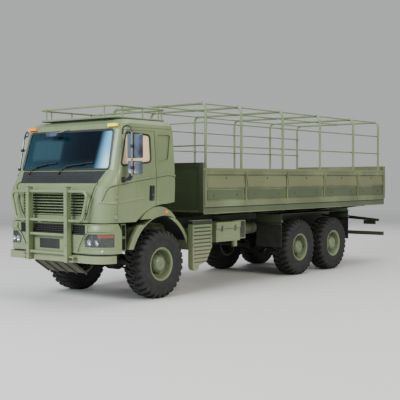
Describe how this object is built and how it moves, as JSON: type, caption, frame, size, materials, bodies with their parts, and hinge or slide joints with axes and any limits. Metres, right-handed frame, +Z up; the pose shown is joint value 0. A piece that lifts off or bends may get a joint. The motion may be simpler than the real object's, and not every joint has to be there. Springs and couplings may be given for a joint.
{
  "type": "military cargo truck",
  "caption": "Cab-over military cargo truck with steered front wheels, a rear bogie, an open cargo bed, tilt bows, opening doors and a drop tailgate.",
  "frame": {"origin": "on the ground at the centre of the bounding box's bottom, midway along and across the truck", "axes": "+Z up; the nose faces -Y; +X is the truck's left side"},
  "size_m": [3.18, 9.8, 3.45],
  "materials": {
    "body_paint": "semi-gloss olive drab",
    "bed_paint": "satin olive drab",
    "frame_paint": "satin dark olive, dusty",
    "black_trim": "matte black",
    "wheel_paint": "satin olive drab",
    "axle_iron": "painted dark",
    "tyre_rubber": "matte, moulded lugs",
    "flap_rubber": "matte",
    "window_glass": "tinted",
    "lamp_lens": "clear lens over a bright reflector",
    "rear_lens": "red lens",
    "amber_lens": "amber lens",
    "cab_trim": "grained dark grey",
    "seat_cloth": "woven dark grey",
    "engine_metal": "grey"
  },
  "bodies": {
    "chassis": {"bed_floor": "bed_paint", "bed_frame": "frame_paint", "bed_sides": "bed_paint", "bogie_axles": "axle_iron", "bogie_guards": "body_paint", "brush_guard": "frame_paint", "cab_floor": "frame_paint", "cab_shell": "body_paint", "cab_steps": "black_trim", "chassis_frame": "frame_paint", "dashboard": "cab_trim", "driveline": "axle_iron", "engine": "engine_metal", "front_axle": "axle_iron", "front_bumper": "body_paint", "front_fenders": "body_paint", "front_mirror": "black_trim", "grille": "body_paint", "headboard": "bed_paint", "headlamps": "lamp_lens", "leaf_springs": "axle_iron", "lower_bumper": "body_paint", "marker_lamps": "amber_lens", "mudflaps": "flap_rubber", "number_plate": "black_trim", "rear_guard": "frame_paint", "ribbed_guards": "body_paint", "roof_rack": "body_paint", "seats": "seat_cloth", "side_boxes": "body_paint", "skid_plate": "body_paint", "tail_lamps": "rear_lens", "tanks": "body_paint", "tilt_bows": "body_paint", "tilt_rails": "body_paint", "tow_hitch": "frame_paint", "windscreen": "window_glass", "wipers": "black_trim"},
    "knuckle_left": {"knuckle_left": "axle_iron"},
    "knuckle_right": {"knuckle_right": "axle_iron"},
    "tie_rod": {"tie_rod": "axle_iron"},
    "door_left": {"door_left": "body_paint", "door_glass_left": "window_glass", "mirrors_left": "black_trim"},
    "door_right": {"door_right": "body_paint", "door_glass_right": "window_glass", "mirrors_right": "black_trim"},
    "tailgate": {"tailgate": "bed_paint"},
    "front_wheel_left": {"tyre_front_left": "tyre_rubber", "wheel_front_left": "wheel_paint"},
    "front_wheel_right": {"tyre_front_right": "tyre_rubber", "wheel_front_right": "wheel_paint"},
    "middle_wheel_left": {"tyre_middle_left": "tyre_rubber", "wheel_middle_left": "wheel_paint"},
    "middle_wheel_right": {"tyre_middle_right": "tyre_rubber", "wheel_middle_right": "wheel_paint"},
    "rear_wheel_left": {"tyre_rear_left": "tyre_rubber", "wheel_rear_left": "wheel_paint"},
    "rear_wheel_right": {"tyre_rear_right": "tyre_rubber", "wheel_rear_right": "wheel_paint"}
  },
  "joints": [
    {"name": "steer_left", "type": "hinge", "parent": "chassis", "child": "knuckle_left", "pos_m": [0.8, -3.312, 0.59], "axis": [0, 0, 1], "range_deg": [-28, 28]},
    {"name": "steer_right", "type": "hinge", "parent": "chassis", "child": "knuckle_right", "pos_m": [-0.8, -3.312, 0.59], "axis": [0, 0, 1], "range_deg": [-28, 28]},
    {"name": "tie_rod_swing", "type": "hinge", "parent": "knuckle_left", "child": "tie_rod", "pos_m": [0.8, -3.162, 0.455], "axis": [0, 0, 1], "range_deg": [-28, 28]},
    {"name": "front_wheel_left_spin", "type": "hinge", "parent": "knuckle_left", "child": "front_wheel_left", "pos_m": [0.965, -3.312, 0.59], "axis": [1, 0, 0], "continuous": true},
    {"name": "front_wheel_right_spin", "type": "hinge", "parent": "knuckle_right", "child": "front_wheel_right", "pos_m": [-0.965, -3.312, 0.59], "axis": [1, 0, 0], "continuous": true},
    {"name": "middle_wheel_left_spin", "type": "hinge", "parent": "chassis", "child": "middle_wheel_left", "pos_m": [0.965, 1.134, 0.59], "axis": [1, 0, 0], "continuous": true},
    {"name": "middle_wheel_right_spin", "type": "hinge", "parent": "chassis", "child": "middle_wheel_right", "pos_m": [-0.965, 1.134, 0.59], "axis": [1, 0, 0], "continuous": true},
    {"name": "rear_wheel_left_spin", "type": "hinge", "parent": "chassis", "child": "rear_wheel_left", "pos_m": [0.965, 2.546, 0.59], "axis": [1, 0, 0], "continuous": true},
    {"name": "rear_wheel_right_spin", "type": "hinge", "parent": "chassis", "child": "rear_wheel_right", "pos_m": [-0.965, 2.546, 0.59], "axis": [1, 0, 0], "continuous": true},
    {"name": "door_left_swing", "type": "hinge", "parent": "chassis", "child": "door_left", "pos_m": [1.256, -4.47, 2], "axis": [0, 0, -1], "range_deg": [0, 70]},
    {"name": "door_right_swing", "type": "hinge", "parent": "chassis", "child": "door_right", "pos_m": [-1.256, -4.47, 2], "axis": [0, 0, 1], "range_deg": [0, 70]},
    {"name": "tailgate_drop", "type": "hinge", "parent": "chassis", "child": "tailgate", "pos_m": [0, 4.875, 1.535], "axis": [-1, 0, 0], "range_deg": [0, 170]}
  ],
  "couplings": [
    {"joint": "steer_right", "follows": "steer_left", "ratio": 1},
    {"joint": "tie_rod_swing", "follows": "steer_left", "ratio": -1}
  ]
}
